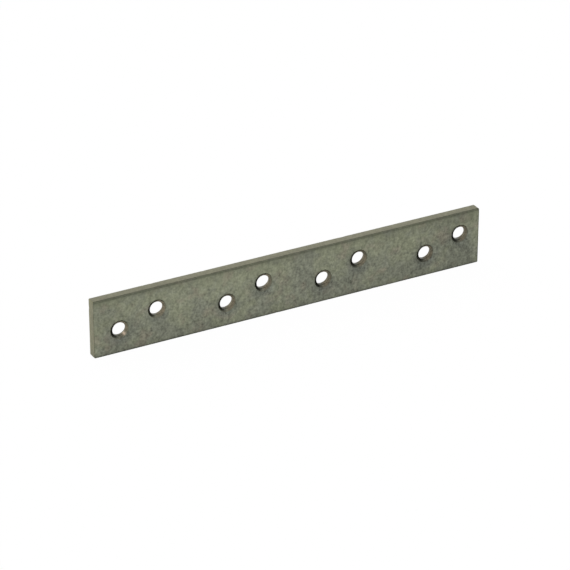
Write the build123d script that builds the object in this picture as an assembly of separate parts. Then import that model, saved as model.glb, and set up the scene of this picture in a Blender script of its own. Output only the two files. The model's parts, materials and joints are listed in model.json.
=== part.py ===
"""Mending plate: a flat steel strap with eight staggered screw holes, for bridging and strengthening a joint.

One piece of slit strip, sheared to length, punched and countersunk. Millimetres, +Z up.
The plate stands on one long edge: X runs along its length, Z across its width, and Y through its thickness.
The plain side, which the punch and the slitting blades entered, looks towards -Y. The countersunk side looks towards +Y.
The origin is the middle of the plate's footprint, at the bottom of its lower long edge.
"""

import os
from math import radians, tan

from build123d import *

# Blank
LENGTH = 203.2  # 8 in
WIDTH = 28.6  # 1-1/8 in
THICKNESS = 4.76  # 3/16 in
CORNER_R = 0.45  # the four corners, seen from the front

# Outer edges. The slitting blades draw the front's upper edge over into a shoulder and its lower edge over less, the shear barely draws the ends, and the burr behind is knocked down to a small round.
SHOULDER_W, SHOULDER_D, FOOT_D = 1.3, 0.42, 0.14  # long edges: run over the face, drop at the upper edge, drop at the lower edge
END_W, END_D = 0.8, 0.06  # sheared ends: run over the face, drop at the edge
BACK_R = 0.25

# Screw holes for No. 12 flat-head screws: four pairs, each a low hole and a high one
HOLE_D = 6.6
PAIR_PITCH = 19.05  # 3/4 in from the low hole to the high one, along the length
PAIR_MIDS = (-79.2, -24.4, 26.2, 81.6)  # the gang of punches sits 1 mm nearer the right end
STAGGER = 5.9  # rise from the low hole to the high one
ROWS_MID = WIDTH / 2 + 0.25  # half way between the rows, a little off the middle of the width

# A hole's section, front to back: mouth drawn in by the punch, short straight land, countersink
MOUTH_W, MOUTH_D = 1.35, 0.72
SINK_ANGLE = 82  # included
# The countersinks were cut in a second operation. For each, from the left: its centre's offset from the hole's along the length and across the width, and its diameter at the back
SINKS = (
    (0.30, 0.50, 11.6), (0.20, 0.50, 11.5), (0.05, 0.75, 11.1), (0.30, 0.65, 11.2),
    (0.10, 0.60, 11.0), (0.00, 0.75, 11.1), (0.30, 0.40, 10.5), (0.45, 0.35, 10.2),
)

FRONT, BACK = -THICKNESS / 2, THICKNESS / 2
SINK_SLOPE = tan(radians(SINK_ANGLE / 2))


def strip_section(span, roll_w, low_d, high_d):
    """Outline across the strip: x along the span, y through the thickness, with rolled front corners and eased back corners."""
    half = span / 2
    return make_face(
        [
            Line((-half + roll_w, FRONT), (half - roll_w, FRONT)),
            EllipticalCenterArc((half - roll_w, FRONT + high_d), roll_w, high_d, 270, arc_size=90),
            Line((half, FRONT + high_d), (half, BACK - BACK_R)),
            CenterArc((half - BACK_R, BACK - BACK_R), BACK_R, 0, 90),
            Line((half - BACK_R, BACK), (-half + BACK_R, BACK)),
            CenterArc((-half + BACK_R, BACK - BACK_R), BACK_R, 90, 90),
            Line((-half, BACK - BACK_R), (-half, FRONT + low_d)),
            EllipticalCenterArc((-half + roll_w, FRONT + low_d), roll_w, low_d, 180, arc_size=90),
        ]
    )


def blank():
    """The sheared length of strip, where the long edges' section and the ends' section meet in a mitre."""
    mid = (0, 0, WIDTH / 2)
    across = Plane(origin=mid, x_dir=(0, 0, 1), z_dir=(-1, 0, 0)) * strip_section(WIDTH, SHOULDER_W, FOOT_D, SHOULDER_D)
    along = Plane(origin=mid, x_dir=(1, 0, 0), z_dir=(0, 0, 1)) * strip_section(LENGTH, END_W, END_D, END_D)
    face = Plane(origin=mid, x_dir=(1, 0, 0), z_dir=(0, -1, 0)) * RectangleRounded(LENGTH, WIDTH, CORNER_R)
    return (
        extrude(across, LENGTH / 2 + 3, both=True)
        & extrude(along, WIDTH / 2 + 3, both=True)
        & extrude(face, THICKNESS / 2 + 3, both=True)
    )


def turned(points):
    """A solid turned about the Z axis from its outline, given as radius and depth below the front face."""
    profile = make_face(Polyline(*points, close=True))
    return revolve(Plane(origin=(0, 0, 0), x_dir=(1, 0, 0), z_dir=(0, -1, 0)) * profile, Axis.Z)


def punch():
    """What the punch takes out: the drawn-in mouth and the straight wall behind it, with depth along +Z."""
    r, lip = HOLE_D / 2, HOLE_D / 2 + MOUTH_W
    return turned([(0, -1), (lip, -1), (lip, 0), (r, MOUTH_D), (r, THICKNESS + 1), (0, THICKNESS + 1)])


def countersink(diameter):
    """What a countersink takes out: a cone that runs on past the back, so that it cuts clean."""
    past = 1.0
    tip = THICKNESS - diameter / 2 / SINK_SLOPE
    return turned([(0, tip), (diameter / 2 + past * SINK_SLOPE, THICKNESS + past), (0, THICKNESS + past)])


def hole_centres():
    for mid in PAIR_MIDS:
        yield mid - PAIR_PITCH / 2, ROWS_MID - STAGGER / 2
        yield mid + PAIR_PITCH / 2, ROWS_MID + STAGGER / 2


plate = blank()
for (x, z), (off_x, off_z, diameter) in zip(hole_centres(), SINKS):
    # The tools' depth axis is turned to run from the front face towards the back.
    plate -= Plane(origin=(x, FRONT, z), x_dir=(1, 0, 0), z_dir=(0, 1, 0)) * punch()
    plate -= Plane(origin=(x + off_x, FRONT, z + off_z), x_dir=(1, 0, 0), z_dir=(0, 1, 0)) * countersink(diameter)

plate = plate.solids()[0] if len(plate.solids()) == 1 else plate
plate.label = "mending_plate"

os.makedirs("parts", exist_ok=True)
export_step(plate, "parts/mending_plate.step")
print("volume", round(plate.volume, 1), "box", plate.bounding_box())
print("holes", [(round(x, 2), round(z, 2)) for x, z in hole_centres()])
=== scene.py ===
"""The mending plate's looks: a sculpted steel plate in place of the plain CAD solid, its finish with some painted light
and shade, a white floor, soft lights and the camera.
"""

import json
import math

import bpy
import numpy as np
from mathutils import Matrix, Vector


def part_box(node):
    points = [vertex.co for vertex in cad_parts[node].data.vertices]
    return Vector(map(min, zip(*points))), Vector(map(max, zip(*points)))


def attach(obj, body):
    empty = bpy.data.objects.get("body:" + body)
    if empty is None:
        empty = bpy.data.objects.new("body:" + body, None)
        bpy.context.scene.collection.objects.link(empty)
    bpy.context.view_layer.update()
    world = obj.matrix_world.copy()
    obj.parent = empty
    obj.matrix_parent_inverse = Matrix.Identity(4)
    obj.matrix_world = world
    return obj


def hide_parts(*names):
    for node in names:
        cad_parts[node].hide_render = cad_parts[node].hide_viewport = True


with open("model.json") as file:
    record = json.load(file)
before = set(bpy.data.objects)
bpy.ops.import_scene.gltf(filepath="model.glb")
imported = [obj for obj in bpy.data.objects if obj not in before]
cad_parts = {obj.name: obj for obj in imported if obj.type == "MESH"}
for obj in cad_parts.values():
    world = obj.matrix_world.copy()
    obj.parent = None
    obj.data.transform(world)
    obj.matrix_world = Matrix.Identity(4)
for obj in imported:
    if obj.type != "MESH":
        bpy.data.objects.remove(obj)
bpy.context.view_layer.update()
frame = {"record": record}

NODE = "mending_plate"
MM = 0.001
LO, HI = (np.array(c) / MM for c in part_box(NODE))
FRONT, BACK = LO[1], HI[1]
HOLES = sorted(
    (m["pos_m"][0] / MM, m["pos_m"][2] / MM) for m in frame["record"]["mounts"] if m["kind"] == "bore"
)
HOLE_R = next(m["dims"]["r_mm"] for m in frame["record"]["mounts"] if m["kind"] == "bore")
MID_Z = (LO[2] + HI[2]) / 2

# The same sections as the CAD solid, in millimetres
SHOULDER_W, SHOULDER_D, FOOT_D = 1.3, 0.42, 0.14
END_W, END_D = 0.8, 0.06
BACK_R = 0.25
CORNER_R = 0.45
# Width of the painted shade along the front's top and bottom edges
RIM_SHADE_R = 2.5
MOUTH_W, MOUTH_D = 1.35, 0.72
LIP_EASE = 0.12
SINK_ANGLE = 82
# Each countersink, from the left: how far its centre is off the hole's along x and z, and how wide it is at the back
SINKS = np.array([
    (0.30, 0.50, 11.6), (0.20, 0.50, 11.5), (0.05, 0.75, 11.1), (0.30, 0.65, 11.2),
    (0.10, 0.60, 11.0), (0.00, 0.75, 11.1), (0.30, 0.40, 10.5), (0.45, 0.35, 10.2),
])
EASE = 0.12  # edges that a file or a brush has taken the sharpness off

BLOCK = 7.0  # half the square of mesh round each hole
CELL = 0.5
SIDE = int(round(2 * BLOCK / CELL))


# ---------------------------------------------------------------- noise

def _hash(ix, iy, iz, seed):
    h = (ix * 73856093) ^ (iy * 19349663) ^ (iz * 83492791) ^ (seed * 2654435761)
    h = (h ^ (h >> 13)) * 1274126177
    h = h & 0xFFFFFFFF
    h = (h ^ (h >> 16)) & 0xFFFF
    return h / 32767.5 - 1.0


def noise(p, size, seed):
    """Smooth value noise of about -1 to 1 at points p in mm, with features about size mm across."""
    q = p / size + 1000.0
    i = np.floor(q).astype(np.int64)
    f = q - i
    f = f * f * f * (f * (f * 6 - 15) + 10)
    out = 0.0
    for dx in (0, 1):
        for dy in (0, 1):
            for dz in (0, 1):
                w = (
                    (f[:, 0] if dx else 1 - f[:, 0])
                    * (f[:, 1] if dy else 1 - f[:, 1])
                    * (f[:, 2] if dz else 1 - f[:, 2])
                )
                out = out + w * _hash(i[:, 0] + dx, i[:, 1] + dy, i[:, 2] + dz, seed)
    return out


# ---------------------------------------------------------------- the plate's mesh

def spaced(a, b, n):
    return np.linspace(a, b, n + 1)


EDGE_ANGLES = np.radians([90, 85.5, 79, 70, 58, 45, 30, 15, 0])
END_ANGLES = np.radians([90, 84, 74, 60, 42, 21, 0])
EDGE_STEPS = SHOULDER_W * (1 - np.sin(EDGE_ANGLES))
END_STEPS = END_W * (1 - np.sin(END_ANGLES))


def z_lines(z):
    """The mesh lines across the width in the column of a hole at height z. Every column has the same number."""
    low = z < MID_Z
    zc = z if low else LO[2] + HI[2] - z
    a, b = zc - BLOCK, zc + BLOCK
    lines = np.concatenate(
        [
            LO[2] + EDGE_STEPS,
            spaced(LO[2] + SHOULDER_W, a, 4)[1:],
            spaced(a, b, SIDE)[1:],
            spaced(b, HI[2] - SHOULDER_W, 16)[1:],
            (HI[2] - EDGE_STEPS[::-1])[1:],
        ]
    )
    return lines if low else (LO[2] + HI[2] - lines)[::-1]


def build_grid():
    """x of each line along the plate, z of each node, and each hole's block as (first i, first j)."""
    xs, zs, blocks = [], [], []
    first = z_lines(HOLES[0][1])
    j_low = len(EDGE_STEPS) - 1 + 4
    j_high = len(first) - 1 - j_low - SIDE
    gap = HOLES[0][0] - BLOCK - (LO[0] + END_W)
    xs += list(LO[0] + END_STEPS)
    xs += list(spaced(LO[0] + END_W, HOLES[0][0] - BLOCK, max(2, round(gap / CELL)))[1:])
    zs += [first] * len(xs)
    for n, (hx, hz) in enumerate(HOLES):
        lines = z_lines(hz)
        if n:
            a, b = HOLES[n - 1][0] + BLOCK, hx - BLOCK
            cells = max(2, round((b - a) / CELL))
            before = z_lines(HOLES[n - 1][1])
            for t in spaced(0, 1, cells)[1:]:
                xs.append(a + (b - a) * t)
                s = t * t * (3 - 2 * t)
                zs.append(before * (1 - s) + lines * s)
        blocks.append((len(xs) - 1, j_low if hz < MID_Z else j_high))
        xs += list(spaced(hx - BLOCK, hx + BLOCK, SIDE)[1:])
        zs += [lines] * SIDE
    last = zs[-1]
    a, b = HOLES[-1][0] + BLOCK, HI[0] - END_W
    more = list(spaced(a, b, max(2, round((b - a) / CELL)))[1:]) + list((HI[0] - END_STEPS[::-1])[1:])
    xs += more
    zs += [last] * len(more)
    return np.array(xs), np.array(zs), blocks


def round_corner(x, z):
    """Draws the rectangle's four corners in to their radius."""
    ex = np.minimum(x - LO[0], HI[0] - x)
    ez = np.minimum(z - LO[2], HI[2] - z)
    qx, qz = (CORNER_R - ex) / CORNER_R, (CORNER_R - ez) / CORNER_R
    near = (qx > 1e-9) & (qz > 1e-9)
    scale = np.where(near, np.maximum(qx, qz) / np.maximum(np.hypot(qx, qz), 1e-9), 1.0)
    nx = np.where(near, CORNER_R - qx * scale * CORNER_R, ex)
    nz = np.where(near, CORNER_R - qz * scale * CORNER_R, ez)
    return (
        np.where(x < 0, LO[0] + nx, HI[0] - nx),
        np.where(z < MID_Z, LO[2] + nz, HI[2] - nz),
    )


def shoulder(distance, width, depth):
    s = np.clip(1 - distance / width, 0, 1)
    return depth * (1 - np.sqrt(np.maximum(0, 1 - s * s)))


def front_y(x, z):
    """Depth of the front's rolled edges at a point of the face."""
    ex = np.minimum(x - LO[0], HI[0] - x)
    ez = np.minimum(z - LO[2], HI[2] - z)
    a, b = shoulder(ez, SHOULDER_W, np.where(z < MID_Z, FOOT_D, SHOULDER_D)), shoulder(ex, END_W, END_D)
    return FRONT + (a**3 + b**3) ** (1 / 3)


def sink_start(u, k):
    """Where hole k's off-centre countersink breaks into its straight wall: depth by direction u from the hole's centre, and the way out from the countersink's own centre."""
    v = u * HOLE_R - SINKS[k, :2]
    length = np.linalg.norm(v, axis=-1)
    depth = (BACK - FRONT) - (SINKS[k, 2] / 2 - length) / math.tan(math.radians(SINK_ANGLE / 2))
    return depth, v / length[..., None], length


def back_chart(x, z):
    """The back has no shoulder, so the lines that were gathered at the front's edges spread out over its flat."""
    out = []
    for v, lo, hi, width in ((x, LO[0], HI[0], END_W), (z, LO[2], HI[2], SHOULDER_W)):
        e = np.minimum(v - lo, hi - v)
        moved = e + BACK_R * np.clip(1 - e / width, 0, 1) ** 2
        out.append(np.where(v < (lo + hi) / 2, lo + moved, hi - moved))
    return out


def build_plate():
    xs, zs, blocks = build_grid()
    ni, nj = zs.shape
    gx = np.repeat(xs[:, None], nj, 1)
    inside = np.zeros((ni, nj), bool)
    for i0, j0 in blocks:
        inside[i0 + 1 : i0 + SIDE, j0 + 1 : j0 + SIDE] = True
    keep = ~inside
    parts, count = [], 0

    def add(points):
        nonlocal count
        parts.append(np.asarray(points, float).reshape(-1, 3))
        ids = np.arange(count, count + len(parts[-1]))
        count += len(ids)
        return ids

    fx, fz = round_corner(gx[keep], zs[keep])
    front = np.full((ni, nj), -1)
    front[keep] = add(np.stack([fx, front_y(gx[keep], zs[keep]), fz], 1))
    bx, bz = back_chart(gx[keep], zs[keep])
    bx, bz = round_corner(bx, bz)
    back = np.full((ni, nj), -1)
    back[keep] = add(np.stack([bx, np.full(keep.sum(), BACK), bz], 1))

    quads = []

    def quad(a, b, c, d):
        quads.append(np.stack([a.ravel(), b.ravel(), c.ravel(), d.ravel()], 1))

    solid = np.ones((ni - 1, nj - 1), bool)
    for i0, j0 in blocks:
        solid[i0 : i0 + SIDE, j0 : j0 + SIDE] = False
    for ids, turned in ((front, False), (back, True)):
        a, b, c, d = ids[:-1, :-1][solid], ids[1:, :-1][solid], ids[1:, 1:][solid], ids[:-1, 1:][solid]
        quad(*((a, d, c, b) if turned else (a, b, c, d)))

    # Each hole: from its square on the front, in over the mouth, through the wall and out to its square on the back
    thick = BACK - FRONT
    slope = math.tan(math.radians(SINK_ANGLE / 2))
    steps = 5
    n_around = 4 * SIDE
    angle = np.radians(-135 + 360 * np.arange(n_around) / n_around)
    circle = np.stack([np.cos(angle), np.sin(angle)], 1)
    mouth = []
    for t in spaced(0, 1, 16):
        sunk = (math.hypot(t, LIP_EASE) - LIP_EASE) / (math.hypot(1, LIP_EASE) - LIP_EASE)
        mouth.append((circle * (HOLE_R + MOUTH_W * (1 - t)), np.full(n_around, MOUTH_D * sunk)))
    for n, ((hx, hz), (i0, j0)) in enumerate(zip(HOLES, blocks)):
        land_end, way, start = sink_start(circle, n)
        land = [(circle * HOLE_R, MOUTH_D + (land_end - EASE - MOUTH_D) * t) for t in spaced(0, 1, 5)[1:]]
        cone = []
        for t in spaced(0, 1, 9):
            d = (land_end + EASE) * (1 - t) + (thick - EASE) * t
            cone.append((SINKS[n, :2] + way * (start + slope * (d - land_end))[:, None], d))
        out = SINKS[n, :2] + way * (SINKS[n, 2] / 2 + EASE)
        i = [i0 + k for k in range(SIDE)] + [i0 + SIDE] * SIDE + [i0 + SIDE - k for k in range(SIDE)] + [i0] * SIDE
        j = [j0] * SIDE + [j0 + k for k in range(SIDE)] + [j0 + SIDE] * SIDE + [j0 + SIDE - k for k in range(SIDE)]
        square = np.stack([xs[i] - hx, zs[i, j] - hz], 1)
        rings = [front[i, j]]
        for t in spaced(0, 1, steps)[1:-1]:
            s = t ** 0.85
            at = square * (1 - s) + circle * (HOLE_R + MOUTH_W) * s + (hx, hz)
            rings.append(add(np.stack([at[:, 0], front_y(at[:, 0], at[:, 1]), at[:, 1]], 1)))
        for place, depth in mouth + land + cone:
            at = place + (hx, hz)
            rings.append(add(np.stack([at[:, 0], FRONT + depth, at[:, 1]], 1)))
        for t in spaced(0, 1, steps)[1:-1]:
            s = 1 - t ** 1.15
            at = square * (1 - s) + out * s + (hx, hz)
            rings.append(add(np.stack([at[:, 0], np.full(n_around, BACK), at[:, 1]], 1)))
        rings.append(back[i, j])
        for a, b in zip(rings[:-1], rings[1:]):
            quad(a, np.roll(a, -1), np.roll(b, -1), b)

    # The outer edge, round the plate from front to back
    i = list(range(ni - 1)) + [ni - 1] * (nj - 1) + list(range(ni - 1, 0, -1)) + [0] * (nj - 1)
    j = [0] * (ni - 1) + list(range(nj - 1)) + [nj - 1] * (ni - 1) + list(range(nj - 1, 0, -1))
    fa, ba = front[i, j], back[i, j]
    base = np.concatenate(parts)
    pf, pb = base[fa], base[ba]
    n_edge = len(fa)
    levels = [fa]
    flat_end = BACK - BACK_R
    for t in (0.015, 0.06, 0.16, 0.32, 0.50, 0.67, 0.84, 1.0):
        y = pf[:, 1] * (1 - t) + flat_end * t
        levels.append(add(np.stack([pf[:, 0], y, pf[:, 2]], 1)))
    for a in np.radians([25, 50, 72]):
        s = 1 - math.cos(a)
        levels.append(
            add(
                np.stack(
                    [
                        pf[:, 0] * (1 - s) + pb[:, 0] * s,
                        np.full(n_edge, flat_end + BACK_R * math.sin(a)),
                        pf[:, 2] * (1 - s) + pb[:, 2] * s,
                    ],
                    1,
                )
            )
        )
    levels.append(ba)
    for a, b in zip(levels[:-1], levels[1:]):
        quad(np.roll(a, -1), a, b, np.roll(b, -1))

    return np.concatenate(parts), np.concatenate(quads)


# ---------------------------------------------------------------- wear and masks

def smooth(v, a, b):
    t = np.clip((v - a) / (b - a), 0, 1)
    return t * t * (3 - 2 * t)


def vertex_normals(p, q):
    n = np.cross(p[q[:, 2]] - p[q[:, 0]], p[q[:, 3]] - p[q[:, 1]])
    out = np.zeros_like(p)
    for k in range(4):
        np.add.at(out, q[:, k], n)
    return out / np.maximum(np.linalg.norm(out, axis=1), 1e-12)[:, None]


def nearest_hole(p):
    d = np.stack([np.hypot(p[:, 0] - x, p[:, 2] - z) for x, z in HOLES], 1)
    k = d.argmin(1)
    off = p[:, [0, 2]] - np.array(HOLES)[k]
    return k, d.min(1), np.arctan2(off[:, 1], off[:, 0]), off


# Knocks along the edges and corners: x, y, z, radius, depth, in millimetres
KNOCKS = [
    (-101.6, -2.2, 28.3, 1.2, 0.08), (-101.5, -2.2, 19.4, 0.8, 0.04), (-101.5, -1.9, 7.2, 1.1, 0.05), (-101.3, -2.2, 0.3, 1.2, 0.09),
    (-63.0, -2.2, 28.5, 1.2, 0.07), (-21.5, -2.1, 28.5, 0.9, 0.09), (8.2, -2.2, 28.5, 1.5, 0.06), (57.4, -2.2, 28.5, 1.0, 0.08),
    (101.5, -2.2, 28.2, 1.1, 0.05), (101.5, -2.1, 13.0, 0.9, 0.04), (101.5, 2.2, 22.0, 1.1, 0.10), (101.4, 2.2, 0.4, 1.3, 0.16),
    (-44.0, 2.3, 28.4, 1.1, 0.08), (29.0, 2.3, 28.5, 1.4, 0.09), (76.0, 2.3, 0.2, 1.2, 0.08), (-88.0, 2.3, 0.2, 1.0, 0.10),
    (-8.0, -2.3, 0.2, 1.3, 0.07), (44.0, -2.3, 0.2, 1.0, 0.08), (-101.5, 2.3, 24.0, 1.1, 0.12), (-70.0, 2.3, 28.5, 0.9, 0.07),
]
# Dents in the broad faces: x, z, side, radius, depth
DENTS = [
    (-52.0, 20.5, -1, 1.6, 0.030), (3.0, 8.5, -1, 1.3, 0.028), (49.5, 21.0, -1, 1.8, 0.030), (61.0, 6.4, -1, 1.2, 0.025),
    (-97.0, 21.5, -1, 1.3, 0.026), (-50.0, 8.0, 1, 2.0, 0.045), (1.5, 20.0, 1, 1.5, 0.040), (46.0, 9.5, 1, 1.7, 0.040),
    (88.0, 7.0, 1, 1.3, 0.035), (-97.0, 20.0, 1, 1.6, 0.035),
]


# Broad clouds in the coating: x, z, half-width, half-height, level
CLOUDS = [
    (-58.0, 17.5, 9.0, 8.0, 0.13), (-79.0, 20.5, 9.0, 5.0, 0.06), (-37.0, 22.0, 12.0, 5.0, 0.07), (68.0, 20.5, 8.0, 6.0, 0.10),
    (-8.0, 13.0, 14.0, 7.0, -0.03), (24.0, 8.0, 9.0, 6.0, -0.06), (64.0, 8.0, 6.0, 6.0, -0.06), (92.0, 10.0, 9.0, 7.0, -0.07),
    (-39.0, 7.5, 8.0, 5.0, -0.05), (88.0, 24.5, 12.0, 4.0, -0.08), (72.0, 4.0, 6.0, 4.0, -0.08), (-96.5, 15.0, 2.6, 12.0, -0.07),
]


def wear(p, q):
    """Sinks every surface a little along its own normal: waviness, grain, knocks, punch and shear marks. Gives the new
    points and the masks, some of which hold painted light and shade.
    """
    n = vertex_normals(p, q)
    k, r, phi, off = nearest_hole(p)
    depth = p[:, 1] - FRONT
    thick = BACK - FRONT
    land_end = sink_start(off / np.maximum(r, 1e-6)[:, None], k)[0]
    mouth_r = HOLE_R + MOUTH_W
    ex = np.minimum(p[:, 0] - LO[0], HI[0] - p[:, 0])
    ez = np.minimum(p[:, 2] - LO[2], HI[2] - p[:, 2])
    facing = np.abs(n[:, 1])
    in_hole = r < mouth_r - 1e-6
    in_sink = (np.linalg.norm(off - SINKS[k, :2], axis=1) < SINKS[k, 2] / 2 + 0.05) & (depth > land_end)
    # The lower right of each hole has rusted and its top has dulled. The lower left has stayed bright
    rusted = smooth(np.cos(phi - math.radians(333)), 0.20, 1.0)
    rusted = np.maximum(rusted, smooth(np.cos(phi - math.radians(60)), 0.20, 1.0))
    wall = np.where(in_sink, 0.0, np.where(in_hole & (depth > 0), rusted * smooth((mouth_r - r) / MOUTH_W, 0.10, 0.60), 0.0))
    sink = np.where(in_sink, 1.0, 0.0)
    cut = np.where((r > 8) | (ez < 2) | (ex < 2), smooth(facing, 0.75, 0.3), 0.0)
    cut = np.where((ez < 0.6) | (ex < 0.6), cut, 0.0)
    ends = cut * (ex < ez)
    flat = smooth(facing, 0.6, 0.95)

    d = 0.008 * (1 + noise(p, 38.0, 3)) + 0.006 * (1 + noise(p, 11.0, 5))
    d += (0.0030 * (1 + noise(p, 2.7, 7)) + 0.0018 * (1 + noise(p, 1.4, 9))) * (0.4 + 0.6 * flat)
    # The punch pulls the face down a little way out from each mouth, and the slitting blades do the same along the long edges
    front_side = (depth < 0.5) & (p[:, 1] < 0)
    d += np.where(front_side & ~in_hole, DISH * np.exp(-np.maximum(r - mouth_r, 0) / DISH_R), np.where(in_hole & ~in_sink, DISH * np.clip(1 - depth / 1.6, 0, 1), 0))
    d += np.where(front_side & (facing > 0.3), SLUMP * (np.exp(-ez / SLUMP_R) - np.exp(-14.0 / SLUMP_R)), 0)
    # Inside a hole the coating is a little thicker. Punch drag runs down its wall, and a tool's rings and chatter round its countersink
    inward = np.where(in_hole & ~in_sink, smooth((mouth_r - r) / MOUTH_W, 0.0, 0.9), 0.0)
    round_p = np.stack([phi * 9.0 + k * 50, depth / 7.0, np.zeros_like(r)], 1)
    d += inward * (-COAT + 0.012 * noise(round_p, 1.0, 21) + 0.008 * noise(round_p, 2.6, 23))
    chatter = np.stack([phi * 6.0 + k * 70, depth * 0.6, np.zeros_like(r)], 1)
    d += sink * (0.008 * (1 + noise(chatter, 1.0, 27)) - COAT * smooth(0.6 - (depth - land_end), 0, 0.6))
    # Slit and sheared edges: drag lines near the front, then the torn part
    along = np.where(ex < ez, p[:, 2], p[:, 0])
    drag = np.stack([along / 0.9, depth / 6.0, ex * 0], 1)
    torn = smooth(depth / thick, 0.30, 0.46)
    d += cut * (1 - torn) * (0.004 + 0.010 * ends) * (1 + noise(drag, 1.0, 31))
    d += cut * torn * (0.010 + 0.016 * ends) * (1 + noise(p, 1.3, 33))
    d += cut * ends * torn * 0.035
    for x, y, z, size, deep in KNOCKS:
        d += deep * np.exp(-((p[:, 0] - x) ** 2 + (p[:, 1] - y) ** 2 + (p[:, 2] - z) ** 2) / (size * size) * 2)
    for x, z, side, size, deep in DENTS:
        near = (np.sign(p[:, 1]) == side) & (facing > 0.5)
        d += near * deep * np.exp(-((p[:, 0] - x) ** 2 + (p[:, 2] - z) ** 2) / (size * size) * 2)
    # Each mouth is pulled in a little more on one side than another
    lean = np.array([0.7, 4.0, 2.1, 5.2, 3.3, 0.2, 1.5, 2.8])[k]
    d += np.where(in_hole & ~in_sink, 0.025 * np.cos(phi - lean) * smooth(depth, 0.0, 0.5), 0)
    moved = p - n * d[:, None]
    # Painted highlight: a bright glint on the lower right of the first hole's mouth
    painted_glint = np.exp(-((p[:, 0] - HOLES[0][0] - 2.35) ** 2 + (p[:, 2] - HOLES[0][1] + 2.60) ** 2) / 0.45) * in_hole * (depth < 1.3)
    # Painted shade: a darker band along the top edge of the front, weaker along the bottom edge
    painted_rim_shade = np.where(front_side & ~in_hole, np.exp(-ez / RIM_SHADE_R) * (1 - 0.65 * (p[:, 2] < MID_Z)), 0.0)
    # Painted shade below and beside each hole, a brighter band near each end, and broad clouds of lighter and darker
    # coating
    painted_under_shade = np.where(~in_hole & ~in_sink & (p[:, 1] < 0), np.exp(-(((r - mouth_r) / 2.8) ** 2)) * (0.5 + 0.5 * np.cos(phi + math.radians(95))), 0.0)
    band = np.exp(-(((ex - 1.8) / 1.3) ** 2)) * flat
    clouds_and_painted_light = np.zeros(len(p))
    for x, z, wide, high, level in CLOUDS:
        clouds_and_painted_light += level * np.exp(-(((p[:, 0] - x) / wide) ** 2) - ((p[:, 2] - z) / high) ** 2)
    # Painted shade: darker towards the bottom of the plate, lighter towards the top
    clouds_and_painted_light += 0.0075 * (p[:, 2] - 13.5)
    lip = np.where(in_hole & ~in_sink, smooth((mouth_r - r) / MOUTH_W, 0.0, 0.5), 0.0)
    # Painted shade on the bottom of each mouth and painted light on its upper right, and a painted highlight where the
    # ends meet the faces
    clouds_and_painted_light += lip * (0.42 * smooth(np.cos(phi - math.radians(58)), 0.60, 1.0) - 0.28 * smooth(np.cos(phi - math.radians(266)), 0.80, 1.0))
    painted_corner_light = np.where((ex < 1.0) & (ex < ez), 2 * np.abs(n[:, 0] * n[:, 1]), 0.0)
    clouds_and_painted_light += 0.45 * smooth(painted_corner_light, 0.1, 0.9)
    deep = smooth(depth, 0.8, 2.2) * np.where(in_sink, 1.0, rusted * in_hole)
    # Painted light and shade: each hole's mouth and wall darker the further right the hole stands, and painted shade on
    # the top edge's cut face near the front
    shade = np.where(in_hole & ~in_sink, 0.13 * p[:, 0] / 91, np.where(ez < ex, cut * np.exp(-depth / 0.9) * 0.8 * RIM_SHADE * (p[:, 2] > MID_Z), 0.0))
    # Painted shade and light on the sheared ends: duller where they tear and brighter behind
    shade -= ends * (0.10 - 0.10 * np.exp(-(((depth - 1.5) / 0.9) ** 2)) + 0.06 * smooth(depth, 2.4, 3.4))
    return moved, {"wall": wall, "lip": lip, "deep": deep, "sink": sink, "cut": cut, "ends": ends, "painted_rim_shade": painted_rim_shade, "painted_under_shade": painted_under_shade, "band": band, "clouds_and_painted_light": clouds_and_painted_light - shade, "painted_glint": painted_glint}


# Strengths of the painted shade along the top edge, of the painted shade below each hole, and of the brighter band near
# each end
RIM_SHADE, UNDER_SHADE, BAND = 0.38, 0.17, 0.10
DISH, DISH_R = 0.12, 2.0
SLUMP, SLUMP_R = 0.06, 1.6
COAT = 0.05

points, quads = build_plate()
points, masks = wear(points, quads)
mesh = bpy.data.meshes.new("plate_steel_body")
mesh.from_pydata((points * MM).tolist(), [], quads.tolist())
mesh.validate()
for name, values in masks.items():
    mesh.attributes.new(name, "FLOAT", "POINT").data.foreach_set("value", values.astype(np.float32))
mesh.shade_smooth()
plate = bpy.data.objects.new("plate_steel_body", mesh)
bpy.context.scene.collection.objects.link(plate)
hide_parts(NODE)
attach(plate, "root")


# ---------------------------------------------------------------- finish

def nodes_of(owner):
    owner.use_nodes = True
    owner.node_tree.nodes.clear()
    return owner.node_tree, owner.node_tree.nodes.new, owner.node_tree.links.new


# Linear colours
GREEN, GREY, BROWN = (0.237, 0.250, 0.174), (0.228, 0.239, 0.185), (0.248, 0.232, 0.176)
EDGE = (0.262, 0.256, 0.176)
SHEARED = (0.240, 0.231, 0.136)
UNDER_SHADE_COLOUR = (0.222, 0.236, 0.200)
LIP = (0.172, 0.174, 0.135)
RUST = (0.330, 0.286, 0.196)
PIT = (0.225, 0.198, 0.128)
GRAIN, MOTTLE, CLOUD, DRIFT = 1.52, 0.42, 0.38, 0.10
ROUGH = 0.36


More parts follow.
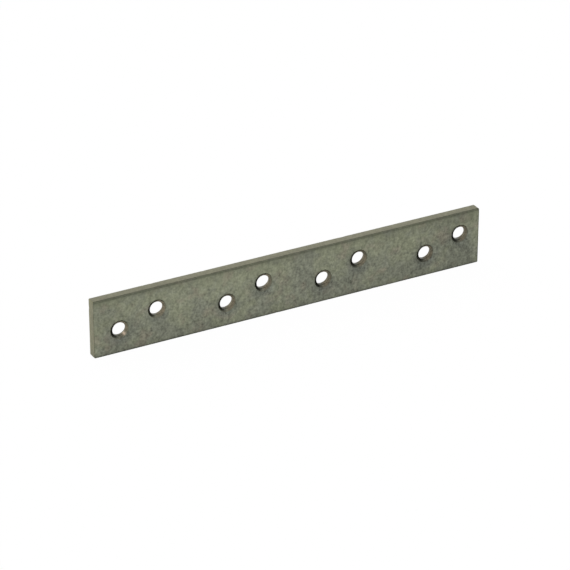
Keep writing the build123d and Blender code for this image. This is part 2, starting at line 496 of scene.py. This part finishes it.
def steel():
    m = bpy.data.materials.new("galvanised_steel")
    nt, new, link = nodes_of(m)
    out = new("ShaderNodeOutputMaterial")
    b = new("ShaderNodeBsdfPrincipled")
    b.inputs["Specular IOR Level"].default_value = 0.2
    link(b.outputs[0], out.inputs["Surface"])
    where = new("ShaderNodeTexCoord").outputs["Object"]

    def grain(size, detail=2.0, rough=0.55, at=(0, 0, 0), stretch=(1, 1, 1), distortion=0.0):
        """Noise of 0 to 1 with features about size mm across, wider by stretch along each axis."""
        mp = new("ShaderNodeMapping")
        mp.inputs["Scale"].default_value = [1000 / size / k for k in stretch]
        mp.inputs["Location"].default_value = at
        link(where, mp.inputs["Vector"])
        n = new("ShaderNodeTexNoise")
        n.inputs["Scale"].default_value = 1.0
        n.inputs["Detail"].default_value = detail
        n.inputs["Roughness"].default_value = rough
        n.inputs["Distortion"].default_value = distortion
        link(mp.outputs[0], n.inputs["Vector"])
        return n.outputs["Fac"]

    def calc(op, a, b, clamp=False):
        n = new("ShaderNodeMath")
        n.operation = op
        n.use_clamp = clamp
        for i, v in enumerate((a, b)):
            if isinstance(v, (int, float)):
                n.inputs[i].default_value = v
            else:
                link(v, n.inputs[i])
        return n.outputs[0]

    def ramp(v, a, b, lo=0.0, hi=1.0):
        n = new("ShaderNodeMapRange")
        n.interpolation_type = "SMOOTHSTEP"
        for k, q in zip(("From Min", "From Max", "To Min", "To Max"), (a, b, lo, hi)):
            n.inputs[k].default_value = q
        link(v, n.inputs["Value"])
        return n.outputs[0]

    def blend(fac, a, b):
        n = new("ShaderNodeMix")
        n.data_type = "RGBA"
        for i, v in ((0, fac), (6, a), (7, b)):
            if isinstance(v, tuple):
                n.inputs[i].default_value = (*v, 1)
            elif isinstance(v, (int, float)):
                n.inputs[i].default_value = v
            else:
                link(v, n.inputs[i])
        return n.outputs[2]

    def mask(name):
        n = new("ShaderNodeAttribute")
        n.attribute_name = name
        return n.outputs["Fac"]

    wall, lip, deep, sink, cut, ends, painted_rim_shade, painted_glint = (
        mask(k) for k in ("wall", "lip", "deep", "sink", "cut", "ends", "painted_rim_shade", "painted_glint")
    )
    painted_under_shade, band, clouds_and_painted_light = (mask(k) for k in ("painted_under_shade", "band", "clouds_and_painted_light"))

    fine = grain(1.15, 2.0, 0.6)
    fine2 = grain(1.9, 1.0, 0.5, (7, 3, 1), (1, 1, 1.3))
    mid = grain(4.2, 2.0, 0.5, (3, 9, 2), distortion=0.4)
    broad = grain(14.0, 2.0, 0.5, (5, 1, 8))
    drift = grain(55.0, 1.0, 0.5, (2.3, 4.1, 6.7))

    hue = calc("ADD", calc("MULTIPLY", mid, 0.4), calc("ADD", calc("MULTIPLY", broad, 0.6), calc("MULTIPLY", clouds_and_painted_light, 0.7)))
    colour = blend(ramp(hue, 0.36, 0.62), GREY, GREEN)
    colour = blend(ramp(grain(7.0, 2.0, 0.5, (11, 5, 4)), 0.52, 0.72, 0.0, 0.75), colour, BROWN)
    # Painted shade below and beside each hole, in a duller colour
    colour = blend(calc("MULTIPLY", painted_under_shade, 0.7), colour, UNDER_SHADE_COLOUR)
    colour = blend(calc("MULTIPLY", cut, 0.9), colour, blend(ends, EDGE, SHEARED))
    colour = blend(calc("MULTIPLY", lip, 0.8), colour, LIP)
    rusty = calc("MULTIPLY", calc("MAXIMUM", wall, calc("MULTIPLY", sink, 0.35)), ramp(grain(2.6, 2.0, 0.55, (4, 4, 9)), 0.32, 0.60, 0.45, 1.0))
    colour = blend(rusty, colour, RUST)
    colour = blend(calc("MULTIPLY", deep, 0.75), colour, PIT)
    link(calc("SUBTRACT", 1.0, calc("MULTIPLY", rusty, 0.75)), b.inputs["Metallic"])
    # Painted highlight: the glint in the first hole, in a pale copper colour
    colour = blend(calc("MULTIPLY", painted_glint, 1.0, True), colour, (0.95, 0.76, 0.58))

    tone = calc("MULTIPLY", calc("SUBTRACT", fine, 0.5), GRAIN)
    tone = calc("ADD", tone, calc("MULTIPLY", calc("SUBTRACT", fine2, 0.5), GRAIN * 0.6))
    tone = calc("ADD", tone, calc("MULTIPLY", calc("SUBTRACT", mid, 0.5), MOTTLE))
    tone = calc("ADD", tone, calc("MULTIPLY", calc("SUBTRACT", broad, 0.5), CLOUD))
    tone = calc("ADD", tone, calc("MULTIPLY", calc("SUBTRACT", drift, 0.5), DRIFT))
    # Less grain on the cut edges, the mouths and the painted top-edge shade; then the painted shade along the top edge
    # and below each hole darkens the tone
    tone = calc("MULTIPLY", tone, calc("SUBTRACT", 1.0, calc("MAXIMUM", calc("MULTIPLY", calc("MAXIMUM", cut, lip), 0.5), calc("MULTIPLY", painted_rim_shade, 0.8))))
    tone = calc("SUBTRACT", tone, calc("MULTIPLY", painted_rim_shade, RIM_SHADE))
    tone = calc("SUBTRACT", tone, calc("MULTIPLY", painted_under_shade, UNDER_SHADE))
    # The brighter band near each end, and the clouds with their painted light and shade
    tone = calc("ADD", tone, calc("ADD", calc("MULTIPLY", band, BAND), clouds_and_painted_light))
    tone = calc("ADD", tone, 1.0)
    scale = new("ShaderNodeVectorMath")
    scale.operation = "SCALE"
    link(colour, scale.inputs[0])
    link(tone, scale.inputs["Scale"])
    link(scale.outputs[0], b.inputs["Base Color"])

    rough = calc("ADD", ROUGH, calc("MULTIPLY", calc("SUBTRACT", mid, 0.5), 0.14))
    rough = calc("ADD", rough, calc("MULTIPLY", calc("SUBTRACT", fine, 0.5), 0.12))
    rough = calc("SUBTRACT", rough, calc("MULTIPLY", calc("MAXIMUM", painted_glint, calc("MULTIPLY", lip, 0.5)), 0.15))
    link(rough, b.inputs["Roughness"])

    bump = new("ShaderNodeBump")
    bump.inputs["Strength"].default_value = 1.0
    bump.inputs["Distance"].default_value = 0.000018
    link(calc("ADD", calc("MULTIPLY", fine, 0.6), calc("MULTIPLY", grain(0.45, 1.0, 0.5, (1, 6, 3)), 0.25)), bump.inputs["Height"])
    link(bump.outputs[0], b.inputs["Normal"])
    return m


plate.data.materials.append(steel())

# Studio levels: the lit room in front, the pale wall behind, the left side, the dark between them, and the polished table
FRONT_GLOW, WALL, LEFT, DARK = 0.74, 1.00, 0.34, 0.02
POLISH, PAPER = 0.92, 0.05
FRONT_POWER = 0.78

# ---------------------------------------------------------------- floor, lights, camera


floor_mesh = bpy.data.meshes.new("floor")
S = 6.0
floor_mesh.from_pydata([(-S, -S, 0), (S, -S, 0), (S, S, 0), (-S, S, 0)], [], [(0, 1, 2, 3)])
floor = bpy.data.objects.new("floor", floor_mesh)
bpy.context.scene.collection.objects.link(floor)
fm = bpy.data.materials.new("floor_white")
nt, new, link = nodes_of(fm)
out = new("ShaderNodeOutputMaterial")
path = new("ShaderNodeLightPath")
mix = new("ShaderNodeMixShader")
add = new("ShaderNodeAddShader")
glow = new("ShaderNodeEmission")
glow.inputs["Strength"].default_value = 0.985
faint = new("ShaderNodeBsdfDiffuse")
faint.inputs["Color"].default_value = (0.04, 0.04, 0.04, 1)
paper = new("ShaderNodeBsdfDiffuse")
paper.inputs["Color"].default_value = (PAPER, PAPER, PAPER, 1)
polish = new("ShaderNodeBsdfGlossy")
polish.inputs["Color"].default_value = (POLISH, POLISH, POLISH, 1)
polish.inputs["Roughness"].default_value = 0.06
table = new("ShaderNodeAddShader")
link(paper.outputs[0], table.inputs[0])
link(polish.outputs[0], table.inputs[1])
link(glow.outputs[0], add.inputs[0])
link(faint.outputs[0], add.inputs[1])
link(path.outputs["Is Camera Ray"], mix.inputs["Fac"])
link(table.outputs[0], mix.inputs[1])
link(add.outputs[0], mix.inputs[2])
link(mix.outputs[0], out.inputs["Surface"])
floor_mesh.materials.append(fm)

world = bpy.data.worlds.new("studio")
bpy.context.scene.world = world
nt, new, link = nodes_of(world)
out = new("ShaderNodeOutputWorld")
path = new("ShaderNodeLightPath")
mix = new("ShaderNodeMixShader")
seen = new("ShaderNodeBackground")
seen.inputs["Color"].default_value = (1, 1, 1, 1)
seen.inputs["Strength"].default_value = 1.0
room = new("ShaderNodeBackground")
coord = new("ShaderNodeTexCoord")
split = new("ShaderNodeSeparateXYZ")
link(coord.outputs["Generated"], split.inputs[0])


def value(op, a, b):
    n = new("ShaderNodeMath")
    n.operation = op
    for i, v in enumerate((a, b)):
        if isinstance(v, (int, float)):
            n.inputs[i].default_value = v
        else:
            link(v, n.inputs[i])
    return n.outputs[0]


def fade(v, start, full, lo=0.0, hi=1.0):
    n = new("ShaderNodeMapRange")
    n.interpolation_type = "SMOOTHSTEP"
    for k, q in zip(("From Min", "From Max", "To Min", "To Max"), (start, full, lo, hi)):
        n.inputs[k].default_value = q
    link(v, n.inputs["Value"])
    return n.outputs[0]


x, y, z = split.outputs
before = value("MULTIPLY", fade(y, -0.20, -0.75, 0.0, FRONT_GLOW), fade(x, 0.52, 0.85, 1.0, 0.0))
before = value("MULTIPLY", before, fade(z, 0.52, 0.90, 1.0, 0.30))
behind = fade(y, 0.15, 0.60, 0.0, WALL)
beside = fade(x, -0.20, -0.80, 0.0, LEFT)
right_wall = value("MULTIPLY", fade(x, 0.90, 0.99, 0.0, 0.60), fade(y, -0.05, 0.15))
level = value("ADD", value("ADD", before, behind), value("ADD", value("ADD", beside, right_wall), DARK))
link(level, room.inputs["Strength"])
link(path.outputs["Is Camera Ray"], mix.inputs["Fac"])
link(room.outputs[0], mix.inputs[1])
link(seen.outputs[0], mix.inputs[2])
link(mix.outputs[0], out.inputs["Surface"])


def area(name, at, look, size, power, color=(1, 1, 1)):
    light = bpy.data.lights.new(name, "AREA")
    light.shape = "RECTANGLE"
    light.size, light.size_y = size
    light.energy = power
    light.color = color
    o = bpy.data.objects.new(name, light)
    bpy.context.scene.collection.objects.link(o)
    o.location = at
    o.rotation_mode = "QUATERNION"
    o.rotation_quaternion = (Vector(look) - Vector(at)).to_track_quat("-Z", "Y")
    return o


area("front_softbox", (0.51, -1.02, 0.60), (0, 0, 0), (0.62, 0.50), FRONT_POWER)

# Seen from 29 degrees to the left of the face's normal and 27 above it, from about 1.4 m through a long lens
F_PX = 3018.0
PITCH, YAW, ROLL = map(math.radians, (27.31, 28.66, 0.080))
DISTANCE = 1.3990
U0, V0 = 291.98, 281.59
right = Vector((math.cos(YAW), -math.sin(YAW), 0))
ahead = Vector((math.sin(YAW), math.cos(YAW), 0))
forward = ahead * math.cos(PITCH) - Vector((0, 0, 1)) * math.sin(PITCH)
up = ahead * math.sin(PITCH) + Vector((0, 0, 1)) * math.cos(PITCH)
cam_x = right * math.cos(ROLL) + up * math.sin(ROLL)
cam_y = -right * math.sin(ROLL) + up * math.cos(ROLL)
centre = Vector((0, FRONT, MID_Z)) * MM
place = centre - (forward + cam_x * ((U0 - 285) / F_PX) - cam_y * ((V0 - 285) / F_PX)) * DISTANCE
camera = bpy.data.cameras.new("camera")
camera.sensor_width = 36.0
camera.lens = 36.0 * F_PX / 570.0
camera.clip_start, camera.clip_end = 0.05, 50.0
cam = bpy.data.objects.new("camera", camera)
bpy.context.scene.collection.objects.link(cam)
cam.matrix_world = Matrix.Translation(place) @ Matrix((cam_x, cam_y, -forward)).transposed().to_4x4()
bpy.context.scene.camera = cam

view = bpy.context.scene.view_settings
view.view_transform = "Standard"
view.look = "None"
view.exposure, view.gamma = 0.0, 1.0
